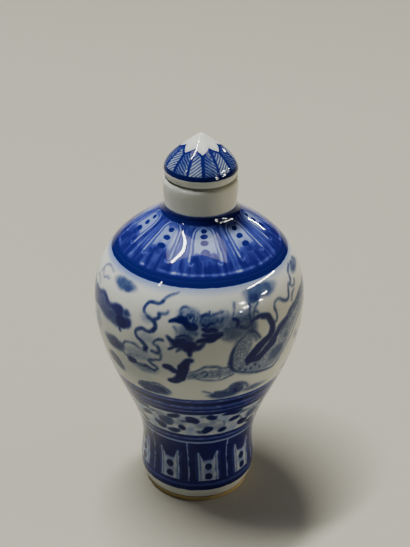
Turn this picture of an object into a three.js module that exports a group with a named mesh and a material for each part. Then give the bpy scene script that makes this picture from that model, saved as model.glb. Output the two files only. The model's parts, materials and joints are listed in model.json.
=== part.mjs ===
// A porcelain snuff bottle on a turned foot, with its domed stopper resting in the mouth.
// Millimetres, +Z up. The origin is on the axis, in the plane that the foot ring stands on.
// Both pieces are turned about the one axis, and every outline is made of arcs and cubic curves
// between named stations, each given by its radius and its height above the table.
import * as THREE from "three";

// Outside of the bottle, from the foot up
const footGroundRadius = 10.9; // outer edge of the ring that touches the table
const footEdgeRadius = 11.2; // where the glaze stops, above the bare foot
const footEdgeHeight = 1.3;
const swellRadius = 12.08; // the foot's own rounded skirt
const swellHeight = 5.5;
const waistRadius = 11.74; // the slimmest place, above the foot
const waistHeight = 11.5;
const bellyRadius = 21.05; // the widest place, high on the body
const bellyHeight = 44.2;
const neckRadius = 7.08;
const neckBaseHeight = 65.73; // where the fillet below the neck ends
const neckFilletReach = 0.82; // how far the fillet stands out from the neck
const lipRadius = 7.28;
const lipRise = 4.27; // the rolled lip's widest place, above the neck's base
const lipCrown = 1.0; // the top of the lip, above its widest place
const lipHeight = neckBaseHeight + lipRise;
const mouthHeight = lipHeight + lipCrown;

// How far each curve keeps the direction of its two ends, as a share of the height it spans
const footFlareHold = 0.4;
const skirtHold = 0.36;
const skirtFallHold = 0.28;
const waistApproachHold = 0.5;
const waistRiseHold = 0.283;
const bellyApproachHold = 0.385;
const shoulderHold = 0.685;
const shoulderFallHold = 0.285;
const shoulderSlopeDegrees = 44; // of the shoulder where it meets the neck's fillet
const filletHold = 0.55;
const lipHold = 0.45;

// Hollow, foot ring and mouth
const bodyWall = 2.4;
const neckWall = 2.88; // leaves the bore in the neck
const floorThickness = 2.8;
const floorCornerRadius = 3.0;
const footRingWidth = 1.5;
const recessDepth = 1.9; // the hollow under the foot
const recessCornerRadius = 0.6;
const lipCornerRadius = 0.6;

// Stopper: a dome with a pointed crown, a flat underside and a plain plug below it
const seatGap = 0.3; // between the lip and the stopper's underside
const domeRadius = 7.14;
const domeUndersideRadius = 6.65;
const domeEquatorHeight = 1.2; // above the underside
const crownHeight = 8.44; // above the underside
const crownRadius = 0.9; // of the small blunt tip
const crownTipHeight = 0.44;
const crownSlopeDegrees = 39.6; // of the dome just below its tip
const domeRiseHold = 2.51;
const domeTopHold = 2.77;
const plugClearance = 0.3; // all round, in the bore
const plugLength = 4.6;
const plugCornerRadius = 0.5;

// Fineness of the facets
const turnSteps = 68;
const cornerSteps = 2;
const outsideFineness = 1;
const insideFineness = 0.5; // the hollow is plainer than the outside
const leastFacet = 0.75; // the hollow's wall stops this far above its floor's corner

const glazedPorcelain = new THREE.MeshStandardMaterial({
  name: "glazed_porcelain",
  color: 0xc9d0de,
  roughness: 0.12,
  metalness: 0,
});
const bluePaintedPorcelain = new THREE.MeshStandardMaterial({
  name: "blue_painted_porcelain",
  color: 0x46598f,
  roughness: 0.12,
  metalness: 0,
});

function station(radius, height) {
  return new THREE.Vector2(radius, height);
}

// A stretch of outline between two stations, leaving and arriving along the given handles
function stretch(from, fromHandle, to, toHandle, steps) {
  const curve = new THREE.CubicBezierCurve(
    from,
    from.clone().add(fromHandle),
    to.clone().sub(toHandle),
    to,
  );
  return curve.getPoints(steps);
}

// A stretch that is upright at both ends, which keep their direction for a share of the rise
function uprightStretch(from, fromHold, to, toHold, steps) {
  const rise = to.y - from.y;
  return stretch(from, station(0, rise * fromHold), to, station(0, rise * toHold), steps);
}

// A quarter of an ellipse about centre, from one angle to another, in degrees
function corner(centre, radiusX, radiusY, fromDegrees, toDegrees) {
  const points = [];
  for (let step = 0; step <= cornerSteps; step += 1) {
    const share = step / cornerSteps;
    const angle = THREE.MathUtils.degToRad(THREE.MathUtils.lerp(fromDegrees, toDegrees, share));
    points.push(station(
      centre.x + radiusX * Math.cos(angle),
      centre.y + radiusY * Math.sin(angle),
    ));
  }
  return points;
}

// Joins stretches into one outline, leaving out a point that repeats the one before it
function joined(...stretches) {
  const outline = [];
  for (const point of stretches.flat()) {
    const last = outline[outline.length - 1];
    if (!last || last.distanceTo(point) > 1e-6) {
      outline.push(point);
    }
  }
  return outline;
}

// The outside of the bottle from the ground to the widest place of the lip
function outerWall(fineness) {
  const steps = (count) => Math.ceil(count * fineness);
  const footEdge = station(footEdgeRadius, footEdgeHeight);
  const swell = station(swellRadius, swellHeight);
  const waist = station(waistRadius, waistHeight);
  const belly = station(bellyRadius, bellyHeight);
  const lip = station(lipRadius, lipHeight);
  const neckBase = station(neckRadius, neckBaseHeight);
  const slope = THREE.MathUtils.degToRad(shoulderSlopeDegrees);
  const filletSide = neckFilletReach / Math.cos(slope);
  const filletKnee = station(neckRadius, neckBaseHeight - filletSide);
  const uphill = station(-Math.cos(slope), Math.sin(slope));
  const shoulderEnd = filletKnee.clone().addScaledVector(uphill, -filletSide);
  const shoulderRise = shoulderEnd.y - bellyHeight;
  const skirtRise = swellHeight - footEdgeHeight;
  const flare = station(swellRadius - footEdgeRadius, skirtRise * footFlareHold);
  return joined(
    [station(footGroundRadius, 0), footEdge],
    stretch(footEdge, flare, swell, station(0, skirtRise * skirtHold), steps(3)),
    uprightStretch(swell, skirtFallHold, waist, waistApproachHold, steps(3)),
    uprightStretch(waist, waistRiseHold, belly, bellyApproachHold, steps(8)),
    stretch(
      belly, station(0, shoulderRise * shoulderHold),
      shoulderEnd, uphill.clone().multiplyScalar(shoulderRise * shoulderFallHold), steps(10)),
    stretch(
      shoulderEnd, uphill.clone().multiplyScalar(filletSide * filletHold),
      neckBase, station(0, filletSide * filletHold), steps(3)),
    uprightStretch(neckBase, lipHold, lip, lipHold, steps(2)),
  );
}

// The inside: the outside moved in by the wall, which thickens from the body to the neck
function innerWall() {
  const outside = outerWall(insideFineness);
  const inside = [];
  const lowest = recessDepth + floorThickness + floorCornerRadius + leastFacet;
  const boreRadius = neckRadius - neckWall;
  for (let index = 1; index < outside.length - 1; index += 1) {
    const along = outside[index + 1].clone().sub(outside[index - 1]).normalize();
    const rise = THREE.MathUtils.clamp(
      (outside[index].y - bellyHeight) / (neckBaseHeight - bellyHeight), 0, 1);
    const wall = THREE.MathUtils.lerp(bodyWall, neckWall, rise);
    const point = station(outside[index].x - along.y * wall, outside[index].y + along.x * wall);
    if (point.y > lowest && outside[index].y < neckBaseHeight) {
      inside.push(station(Math.max(point.x, boreRadius), point.y));
    }
  }
  return inside;
}

function bottleOutline() {
  const inside = innerWall();
  const boreRadius = neckRadius - neckWall;
  const footInnerRadius = footGroundRadius - footRingWidth;
  const floorHeight = recessDepth + floorThickness;
  const floorEdgeRadius = inside[0].x;
  const recess = corner(
    station(footInnerRadius - recessCornerRadius, recessDepth - recessCornerRadius),
    recessCornerRadius, recessCornerRadius, 90, 0);
  const outerLip = corner(
    station(lipRadius - lipCornerRadius, lipHeight),
    lipCornerRadius, lipCrown, 0, 90);
  const innerLip = corner(
    station(boreRadius + lipCornerRadius, mouthHeight - lipCornerRadius),
    lipCornerRadius, lipCornerRadius, 90, 180);
  const floorCorner = corner(
    station(floorEdgeRadius - floorCornerRadius, floorHeight + floorCornerRadius),
    floorCornerRadius, floorCornerRadius, 0, -90);
  return joined(
    [station(0, recessDepth)],
    recess,
    [station(footInnerRadius, 0)],
    outerWall(outsideFineness),
    outerLip,
    innerLip,
    [station(boreRadius, neckBaseHeight)],
    inside.reverse(),
    floorCorner,
    [station(0, floorHeight)],
  );
}

function stopperOutline() {
  const underside = mouthHeight + seatGap;
  const plugRadius = neckRadius - neckWall - plugClearance;
  const plugEnd = mouthHeight - plugLength;
  const equator = station(domeRadius, underside + domeEquatorHeight);
  const shoulder = station(crownRadius, underside + crownHeight - crownTipHeight);
  const slope = THREE.MathUtils.degToRad(crownSlopeDegrees);
  const arriving = station(-domeTopHold * Math.cos(slope), domeTopHold * Math.sin(slope));
  const plugFoot = corner(
    station(plugRadius - plugCornerRadius, plugEnd + plugCornerRadius),
    plugCornerRadius, plugCornerRadius, -90, 0);
  const bulge = corner(
    station(domeUndersideRadius, equator.y),
    domeRadius - domeUndersideRadius, domeEquatorHeight, -90, 0);
  const dome = stretch(equator, station(0, domeRiseHold), shoulder, arriving, 9);
  const crown = corner(
    station(0, shoulder.y), crownRadius, crownTipHeight, 0, 90);
  return joined(
    [station(0, plugEnd)],
    plugFoot,
    [station(plugRadius, underside)],
    bulge,
    dome,
    crown.slice(0, -1),
    [station(0, underside + crownHeight)],
  );
}

// Turns an outline about the upright axis. The outline runs up the outside.
function turned(name, outline, material) {
  const geometry = new THREE.LatheGeometry(outline, turnSteps);
  geometry.rotateX(Math.PI / 2);
  const mesh = new THREE.Mesh(geometry, material);
  mesh.name = name;
  return mesh;
}

const snuffBottle = new THREE.Group();
snuffBottle.add(turned("bottle", bottleOutline(), glazedPorcelain));
snuffBottle.add(turned("stopper", stopperOutline(), bluePaintedPorcelain));

export default snuffBottle;
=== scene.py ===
"""A blue and white porcelain snuff bottle with its domed stopper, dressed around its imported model.

The bottle and the stopper are turned from their outlines by Geometry Nodes. The dragon and its
clouds are brush strokes laid on the bottle in degrees round it and millimetres above the table.
The repeating bands are worked out in the glaze's material.
"""
import json
import math

import bpy
import numpy as np
from mathutils import Matrix, Vector

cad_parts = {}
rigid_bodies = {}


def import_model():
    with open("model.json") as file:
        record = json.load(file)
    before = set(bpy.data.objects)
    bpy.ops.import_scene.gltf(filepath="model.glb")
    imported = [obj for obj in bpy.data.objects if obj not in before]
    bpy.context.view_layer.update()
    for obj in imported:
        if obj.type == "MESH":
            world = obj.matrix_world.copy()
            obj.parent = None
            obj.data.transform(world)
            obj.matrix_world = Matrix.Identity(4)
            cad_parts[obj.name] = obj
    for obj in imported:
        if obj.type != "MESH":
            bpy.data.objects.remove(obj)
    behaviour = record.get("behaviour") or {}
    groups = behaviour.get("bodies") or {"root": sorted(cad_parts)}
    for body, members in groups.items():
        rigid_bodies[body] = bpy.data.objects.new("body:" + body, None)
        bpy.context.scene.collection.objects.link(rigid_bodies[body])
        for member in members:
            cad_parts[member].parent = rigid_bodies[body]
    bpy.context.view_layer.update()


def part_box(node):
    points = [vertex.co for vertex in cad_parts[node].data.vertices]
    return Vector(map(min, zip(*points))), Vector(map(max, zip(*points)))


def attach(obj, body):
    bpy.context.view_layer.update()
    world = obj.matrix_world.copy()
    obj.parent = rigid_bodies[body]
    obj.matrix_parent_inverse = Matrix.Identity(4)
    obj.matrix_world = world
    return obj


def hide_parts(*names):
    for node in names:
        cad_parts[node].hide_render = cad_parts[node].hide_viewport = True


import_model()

bl_info = {
    "name": "Blue and white snuff bottle",
    "version": (1, 0, 0),
    "blender": (4, 5, 0),
    "location": "3D View > Sidebar > Snuff Bottle",
    "description": "Turns, paints and lights a porcelain snuff bottle with its stopper",
    "category": "Object",
}

MM = 0.001
BOTTLE_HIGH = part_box("bottle")[1]
STOPPER_LOW, STOPPER_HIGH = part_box("stopper")


def length(name, description, default):
    """A length in metres that shows in the panel."""
    return bpy.props.FloatProperty(
        name=name, description=description, default=default, min=0.0, precision=5, unit="LENGTH")


def share(name, description, default):
    """A share from nothing to all."""
    return bpy.props.FloatProperty(
        name=name, description=description, default=default, min=0.0, max=1.0, subtype="FACTOR")


def angle(name, description, degrees):
    """An angle, given in degrees."""
    return bpy.props.FloatProperty(
        name=name, description=description, default=math.radians(degrees), subtype="ANGLE")


def colour(name, description, default):
    """A linear colour."""
    return bpy.props.FloatVectorProperty(
        name=name, description=description, default=default, size=3, min=0.0, max=1.0,
        subtype="COLOR")


def count(name, description, default):
    """A whole number of faces."""
    return bpy.props.IntProperty(name=name, description=description, default=default, min=12)


class BottleShape(bpy.types.PropertyGroup):
    """Stations of the bottle's outline: radii, heights above the table, and how far curves hold."""
    ground_radius: length("Ground radius", "Outer edge of the foot ring", 10.9 * MM)
    edge_radius: length("Foot edge radius", "Where the glaze stops above the foot", 11.2 * MM)
    edge_height: length("Foot edge height", "Height of the glaze edge", 1.3 * MM)
    swell_radius: length("Swell radius", "The foot's rounded skirt", 12.08 * MM)
    swell_height: length("Swell height", "Height of the skirt's widest place", 5.5 * MM)
    waist_radius: length("Waist radius", "The slimmest place", 11.74 * MM)
    waist_height: length("Waist height", "Height of the slimmest place", 11.5 * MM)
    belly_radius: length("Belly radius", "The widest place", BOTTLE_HIGH.x)
    belly_height: length("Belly height", "Height of the widest place", 44.2 * MM)
    neck_radius: length("Neck radius", "Radius of the neck", 7.08 * MM)
    neck_height: length("Neck height", "Where the fillet below the neck ends", 65.73 * MM)
    fillet_reach: length("Fillet reach", "Width of the fillet below the neck", 0.82 * MM)
    lip_radius: length("Lip radius", "The rolled lip's widest place", 7.28 * MM)
    lip_height: length("Lip height", "Height of the lip's widest place", 70.0 * MM)
    mouth_height: length("Mouth height", "Top of the lip", BOTTLE_HIGH.z)
    body_wall: length("Body wall", "Thickness of the wall round the body", 2.4 * MM)
    neck_wall: length("Neck wall", "Thickness of the wall round the neck", 2.88 * MM)
    floor_height: length("Floor height", "Height of the hollow's floor", 4.7 * MM)
    floor_corner: length("Floor corner", "Radius between the floor and the wall", 3.0 * MM)
    ring_width: length("Foot ring width", "Width of the ring that stands on the table", 1.5 * MM)
    recess: length("Recess", "Depth of the hollow under the foot", 1.9 * MM)
    recess_corner: length("Recess corner", "Radius in the hollow under the foot", 0.6 * MM)
    lip_corner: length("Lip corner", "Radius of the lip's edges", 0.6 * MM)
    shoulder_slope: angle("Shoulder slope", "Slope of the shoulder where it meets the fillet", 44.0)
    flare_hold: share("Flare hold", "How long the foot keeps flaring", 0.4)
    skirt_hold: share("Skirt hold", "How long the skirt stays upright below its widest place", 0.36)
    skirt_fall_hold: share("Skirt fall hold", "How long it stays upright above", 0.28)
    waist_approach_hold: share("Waist approach hold", "How long the waist is upright below", 0.5)
    waist_rise_hold: share("Waist rise hold", "How long the waist is upright above", 0.283)
    belly_approach_hold: share("Belly approach hold", "How long the belly is upright below", 0.385)
    shoulder_hold: share("Shoulder hold", "How long the belly is upright above", 0.685)
    shoulder_fall_hold: share("Shoulder fall hold", "How long the shoulder keeps its slope", 0.285)
    fillet_hold: share("Fillet hold", "How tight the fillet is", 0.55)
    lip_hold: share("Lip hold", "How evenly the neck widens to the lip", 0.45)
    columns: count("Columns", "Faces round the bottle", 440)


class StopperShape(bpy.types.PropertyGroup):
    """Sizes of the stopper: a pointed dome with a plug below it."""
    dome_radius: length("Dome radius", "The dome's widest place", STOPPER_HIGH.x)
    underside_radius: length("Underside radius", "Edge of the flat underside", 6.65 * MM)
    underside: length("Underside height", "Height of the flat underside", 71.3 * MM)
    equator: length("Equator", "The widest place above the underside", 1.2 * MM)
    crown_height: length("Crown height", "Top of the pointed crown", STOPPER_HIGH.z)
    crown_radius: length("Crown radius", "Radius of the blunt tip", 0.9 * MM)
    crown_tip: length("Crown tip", "Height of the blunt tip", 0.44 * MM)
    crown_slope: angle("Crown slope", "Slope of the dome below its tip", 39.6)
    rise_hold: length("Rise hold", "How far the dome rises straight", 2.51 * MM)
    top_hold: length("Top hold", "How far the dome keeps its upper slope", 2.77 * MM)
    plug_radius: length("Plug radius", "The plug in the neck", 3.9 * MM)
    plug_end: length("Plug end", "Height of the plug's lower end", STOPPER_LOW.z)
    plug_corner: length("Plug corner", "Radius of the plug's lower edge", 0.5 * MM)
    columns: count("Columns", "Faces round the stopper", 360)


class GlazeLook(bpy.types.PropertyGroup):
    """Colours and gloss of the glaze, the cobalt under it and the bare clay."""
    white: colour("White", "The clear glaze over the porcelain", (0.50, 0.52, 0.485))
    pale: colour("Pale wash", "Thin cobalt", (0.19, 0.25, 0.42))
    middle: colour("Middle cobalt", "Cobalt laid once", (0.034, 0.048, 0.23))
    dark: colour("Dark cobalt", "Cobalt laid twice", (0.009, 0.0095, 0.105))
    deep: colour("Deep cobalt", "Cobalt where it pools", (0.002, 0.0055, 0.066))
    brushed_pale: colour("Brushed pale", "Thin cobalt in the brushwork, greyer", (0.21, 0.245, 0.33))
    brushed_middle: colour("Brushed middle", "Cobalt of the brush lines", (0.05, 0.08, 0.17))
    clay: colour("Bare clay", "The unglazed edge of the foot", (0.42, 0.31, 0.12))
    edge: colour("Glaze edge", "The brown line where the glaze stops", (0.07, 0.045, 0.02))
    roughness: share("Roughness", "How dull the glaze is", 0.03)
    clay_roughness: share("Clay roughness", "How dull the bare clay is", 0.75)


class Tree:
    """Adds nodes to one node tree, with one call for each."""

    def __init__(self, tree):
        self.tree = tree

    def node(self, kind, settings=None, values=None, out=0):
        """A node of that kind: its settings first, then its sockets' values or links."""
        made = self.tree.nodes.new(kind)
        for key, value in (settings or {}).items():
            if key == "stops":
                self.lay_stops(made.color_ramp, value)
            else:
                setattr(made, key, value)
        for key, value in (values or {}).items():
            self.feed(made.inputs[key], value)
        return Value(self, made.outputs[out]) if len(made.outputs) else made

    def lay_stops(self, ramp, stops):
        """Gives a ramp its places and colours, in order."""
        first, last = ramp.elements
        first.position, first.color = stops[0][0], (*stops[0][1], 1.0)
        last.position, last.color = stops[-1][0], (*stops[-1][1], 1.0)
        for place, tint in stops[1:-1]:
            ramp.elements.new(place).color = (*tint, 1.0)

    def feed(self, socket, value):
        """Links a value to a socket, or sets it there."""
        if isinstance(value, Value):
            self.tree.links.new(value.socket, socket)
        else:
            socket.default_value = value

    def maths(self, operation, *values):
        """A Math node on up to three values."""
        return self.node("ShaderNodeMath", {"operation": operation}, dict(enumerate(values)))

    def point(self, across, up):
        """A place in the plane of the outline."""
        return self.node("ShaderNodeCombineXYZ", values={"X": across, "Z": up})


class Value:
    """A socket's output that can be used in Python expressions."""

    def __init__(self, tree, socket):
        self.tree = tree
        self.socket = socket

    def other(self, index):
        """Another output of the same node."""
        return Value(self.tree, self.socket.node.outputs[index])

    def __add__(self, other):
        return self.tree.maths("ADD", self, other)

    __radd__ = __add__

    def __sub__(self, other):
        return self.tree.maths("SUBTRACT", self, other)

    def __rsub__(self, other):
        return self.tree.maths("SUBTRACT", other, self)

    def __mul__(self, other):
        return self.tree.maths("MULTIPLY", self, other)

    __rmul__ = __mul__

    def __truediv__(self, other):
        return self.tree.maths("DIVIDE", self, other)

    def __neg__(self):
        return self.tree.maths("MULTIPLY", self, -1.0)

    def __abs__(self):
        return self.tree.maths("ABSOLUTE", self)

    def __mod__(self, other):
        return self.tree.maths("FLOORED_MODULO", self, other)

    def __or__(self, other):
        return self.tree.maths("MAXIMUM", self, other)

    __ror__ = __or__


class Turning(Tree):
    """A Geometry Nodes tree that turns an outline, given as stretches, about the upright axis."""

    curve_steps = 96  # places that a stretch is worked out at before its rows are spread evenly
    round_hold = 0.5523  # share of the way to the knee that makes a corner round
    weld = 0.002 * MM  # places closer than this become one

    def __init__(self, name, sizes):
        super().__init__(bpy.data.node_groups.new(name, "GeometryNodeTree"))
        interface = self.tree.interface
        interface.new_socket("Geometry", in_out="OUTPUT", socket_type="NodeSocketGeometry")
        self.ids = {}
        for key, value in sizes.items():
            kind = "NodeSocketInt" if isinstance(value, int) else "NodeSocketFloat"
            socket = interface.new_socket(key, in_out="INPUT", socket_type=kind)
            self.ids[key] = socket.identifier
        entry = self.tree.nodes.new("NodeGroupInput")
        self.sizes = {key: Value(self, entry.outputs[key]) for key in sizes}

    def stretch(self, start, start_handle, end_handle, end, rows, low=0.0, high=1.0):
        """A cubic stretch of outline, or the part of it from low to high, as so many rows."""
        curve = self.node("GeometryNodeCurvePrimitiveBezierSegment", {"mode": "POSITION"}, {
            "Resolution": self.curve_steps,
            "Start": self.point(*start), "Start Handle": self.point(*start_handle),
            "End Handle": self.point(*end_handle), "End": self.point(*end)})
        if (low, high) != (0.0, 1.0):
            curve = self.node("GeometryNodeTrimCurve", {"mode": "FACTOR"},
                              {"Curve": curve, "Start": low, "End": high})
        return self.node("GeometryNodeResampleCurve", {"mode": "COUNT"},
                         {"Curve": curve, "Count": rows})

    def straight(self, start, end, rows=2):
        """A straight stretch."""
        curve = self.node("GeometryNodeCurvePrimitiveLine", {"mode": "POINTS"},
                          {"Start": self.point(*start), "End": self.point(*end)})
        return self.node("GeometryNodeResampleCurve", {"mode": "COUNT"},
                         {"Curve": curve, "Count": rows})

    def corner(self, start, knee, end, rows=4):
        """A rounded corner from start to end, whose tangents meet at the knee."""
        first = [a + (b - a) * self.round_hold for a, b in zip(start, knee)]
        second = [a + (b - a) * self.round_hold for a, b in zip(end, knee)]
        return self.stretch(start, first, second, end, rows)

    def inside(self, handles, rows, bore):
        """The hollow's side of a stretch: moved in by the wall, and run the other way."""
        sizes = self.sizes
        along = self.node("ShaderNodeSeparateXYZ", values={
            "Vector": self.node("GeometryNodeInputTangent")})
        at = self.node("ShaderNodeSeparateXYZ", values={
            "Vector": self.node("GeometryNodeInputPosition")})
        wall = self.node("ShaderNodeMapRange", values={
            "Value": at.other(2), "From Min": sizes["belly_height"],
            "From Max": sizes["neck_height"], "To Min": sizes["body_wall"],
            "To Max": sizes["neck_wall"]})
        place = self.point((at - along.other(2) * wall) | bore, at.other(2) + along * wall)
        moved = self.node("GeometryNodeSetPosition", values={
            "Geometry": self.stretch(*handles, rows), "Position": place})
        return self.node("GeometryNodeReverseCurve", values={"Curve": moved})

    def rows_of(self, curves):
        """The curves joined in order, and how many rows they have."""
        joined = self.node("GeometryNodeJoinGeometry")
        for curve in reversed(curves):
            self.tree.links.new(curve.socket, joined.socket.node.inputs[0])
        rows = self.node("GeometryNodeAttributeDomainSize", {"component": "CURVE"},
                         {"Geometry": joined})
        return joined, rows

    def finish(self, outside, inside, columns, material):
        """Turns the outline's rows about the axis, marks those of the outside and ends the tree."""
        outer_rows = self.rows_of(outside)[1]
        joined, rows = self.rows_of(outside + inside)
        grid = self.node("GeometryNodeMeshGrid", values={
            "Size X": 1.0, "Size Y": 1.0, "Vertices X": columns + 1, "Vertices Y": rows})
        place = self.node("GeometryNodeInputPosition")
        split = self.node("ShaderNodeSeparateXYZ", values={"Vector": place})
        turn = (split + 0.5) * math.tau
        row = self.maths("ROUND", (split.other(1) + 0.5) * (rows - 1.0))
        at = self.node("GeometryNodeSampleIndex", {"data_type": "FLOAT_VECTOR", "domain": "POINT"},
                       {"Geometry": joined, "Value": place, "Index": row})
        section = self.node("ShaderNodeSeparateXYZ", values={"Vector": at})
        moved = self.node("ShaderNodeCombineXYZ", values={
            "X": section * self.maths("COSINE", turn),
            "Y": section * self.maths("SINE", turn),
            "Z": section.other(2)})
        marked = self.node("GeometryNodeStoreNamedAttribute", {"data_type": "FLOAT"}, {
            "Geometry": grid, "Name": "outside", "Value": self.maths("LESS_THAN", row, outer_rows)})
        shaped = self.node("GeometryNodeSetPosition", values={"Geometry": marked, "Position": moved})
        welded = self.node("GeometryNodeMergeByDistance", values={
            "Geometry": shaped, "Distance": self.weld})
        smooth = self.node("GeometryNodeSetShadeSmooth", values={"Geometry": welded})
        real = self.node("GeometryNodeRealizeInstances", values={"Geometry": smooth})
        dressed = self.node("GeometryNodeSetMaterial", values={"Geometry": real, "Material": material})
        exit_node = self.tree.nodes.new("NodeGroupOutput")
        self.tree.links.new(dressed.socket, exit_node.inputs[0])

    def make(self, name, values):
        """The tree's result as a plain mesh object of its own."""
        carrier = bpy.data.objects.new(name + "_carrier", bpy.data.meshes.new(name + "_carrier"))
        bpy.context.scene.collection.objects.link(carrier)
        modifier = carrier.modifiers.new("turning", "NODES")
        modifier.node_group = self.tree
        for key, value in values.items():
            modifier[self.ids[key]] = value
        graph = bpy.context.evaluated_depsgraph_get()
        mesh = bpy.data.meshes.new_from_object(carrier.evaluated_get(graph), depsgraph=graph)
        bpy.data.objects.remove(carrier)
        mesh.name = name
        made = bpy.data.objects.new(name, mesh)
        bpy.context.scene.collection.objects.link(made)
        return made


def sizes_of(group):
    """A property group's numbers by name."""
    return {prop.identifier: getattr(group, prop.identifier)
            for prop in group.bl_rna.properties if prop.type in {"FLOAT", "INT"}}


def above(place, rise):
    """The place that far above another."""
    return place[0], place[1] + rise


def turned_bottle(shape, material):
    """The bottle, turned from the middle of its underside over the lip to the hollow's floor."""
    sizes = sizes_of(shape)
    tree = Turning("turned bottle", sizes)
    s = tree.sizes
    recess, ring_inside = s["recess"], s["ground_radius"] - s["ring_width"]
    recess_edge, recess_foot = ring_inside - s["recess_corner"], recess - s["recess_corner"]
    skirt_rise = s["swell_height"] - s["edge_height"]
    fall = s["waist_height"] - s["swell_height"]
    rise = s["belly_height"] - s["waist_height"]
    lip_rise = s["lip_height"] - s["neck_height"]
    bore = s["neck_radius"] - s["neck_wall"]
    edge = (s["edge_radius"], s["edge_height"])
    swell = (s["swell_radius"], s["swell_height"])
    waist = (s["waist_radius"], s["waist_height"])
    belly = (s["belly_radius"], s["belly_height"])
    neck = (s["neck_radius"], s["neck_height"])
    lip = (s["lip_radius"], s["lip_height"])
    level, steep = tree.maths("COSINE", s["shoulder_slope"]), tree.maths("SINE", s["shoulder_slope"])
    fillet_side = s["fillet_reach"] / level

    def downhill(place, distance):
        """The place so far down the shoulder's slope from another."""
        return place[0] + level * distance, place[1] - steep * distance

    fillet_knee = above(neck, -fillet_side)
    shoulder_end = downhill(fillet_knee, fillet_side)
    shoulder = shoulder_end[1] - belly[1]
    flare = (swell[0], edge[1] + skirt_rise * s["flare_hold"])
    rising = (waist, above(waist, rise * s["waist_rise_hold"]),
              above(belly, -(rise * s["belly_approach_hold"])), belly)
    turning = (belly, above(belly, shoulder * s["shoulder_hold"]),
               downhill(shoulder_end, shoulder * s["shoulder_fall_hold"]), shoulder_end)
    plain_rise, painted_turn = 0.22, 0.55  # shares where the rows change from coarse to fine and back
    fillet_pull = fillet_side * s["fillet_hold"]
    fillet = (shoulder_end, downhill(shoulder_end, -fillet_pull), above(neck, -fillet_pull), neck)
    outside = [
        tree.straight((0.0, recess), (recess_edge, recess), 3),
        tree.corner((recess_edge, recess), (ring_inside, recess), (ring_inside, recess_foot)),
        tree.straight((ring_inside, recess_foot), (ring_inside, 0.0)),
        tree.straight((ring_inside, 0.0), (s["ground_radius"], 0.0)),
        tree.straight((s["ground_radius"], 0.0), edge, 3),
        tree.stretch(edge, flare, above(swell, -(skirt_rise * s["skirt_hold"])), swell, 7),
        tree.stretch(swell, above(swell, fall * s["skirt_fall_hold"]),
                     above(waist, -(fall * s["waist_approach_hold"])), waist, 7),
        tree.stretch(*rising, 8, 0.0, plain_rise),
        tree.stretch(*rising, 80, plain_rise, 1.0),
        tree.stretch(*turning, 46, 0.0, painted_turn),
        tree.stretch(*turning, 12, painted_turn, 1.0),
        tree.stretch(*fillet, 7),
        tree.stretch(neck, above(neck, lip_rise * s["lip_hold"]),
                     above(lip, -(lip_rise * s["lip_hold"])), lip, 5),
        tree.corner(lip, (lip[0], s["mouth_height"]), (lip[0] - s["lip_corner"], s["mouth_height"]), 5),
    ]
    mouth_edge, mouth_drop = bore + s["lip_corner"], s["mouth_height"] - s["lip_corner"]
    floor_edge, floor = waist[0] - s["body_wall"], s["floor_height"]
    floor_flat = floor_edge - s["floor_corner"]
    inside = [
        tree.corner((mouth_edge, s["mouth_height"]), (bore, s["mouth_height"]), (bore, mouth_drop)),
        tree.straight((bore, mouth_drop), (bore, neck[1])),
        tree.inside(fillet, 3, bore),
        tree.inside(turning, 8, bore),
        tree.inside(rising, 8, bore),
        tree.corner((floor_edge, floor + s["floor_corner"]), (floor_edge, floor), (floor_flat, floor)),
        tree.straight((floor_flat, floor), (0.0, floor)),
    ]
    tree.finish(outside, inside, s["columns"], material)
    return tree.make("painted_bottle", sizes)


def turned_stopper(shape, material):
    """The stopper, turned from its plug's lower end to the tip of its crown."""
    sizes = sizes_of(shape)
    tree = Turning("turned stopper", sizes)
    s = tree.sizes
    plug, corner, end = s["plug_radius"], s["plug_corner"], s["plug_end"]
    underside = s["underside"]
    equator = (s["dome_radius"], underside + s["equator"])
    top = (s["crown_radius"], s["crown_height"] - s["crown_tip"])
    reach = s["top_hold"]
    blunt = 0.45  # share of the tip's radius where its corner has its knee
    before_top = (top[0] + reach * tree.maths("COSINE", s["crown_slope"]),
                  top[1] - reach * tree.maths("SINE", s["crown_slope"]))
    plug_side = [
        tree.straight((0.0, end), (plug - corner, end)),
        tree.corner((plug - corner, end), (plug, end), (plug, end + corner)),
        tree.straight((plug, end + corner), (plug, underside)),
        tree.straight((plug, underside), (s["underside_radius"], underside), 3),
    ]
    dome = [
        tree.corner((s["underside_radius"], underside), (equator[0], underside), equator, 8),
        tree.stretch(equator, above(equator, s["rise_hold"]), before_top, top, 60),
        tree.corner(top, (top[0] * blunt, s["crown_height"]), (0.0, s["crown_height"]), 8),
    ]
    tree.finish(plug_side, dome, s["columns"], material)
    return tree.make("painted_stopper", sizes)


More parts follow.
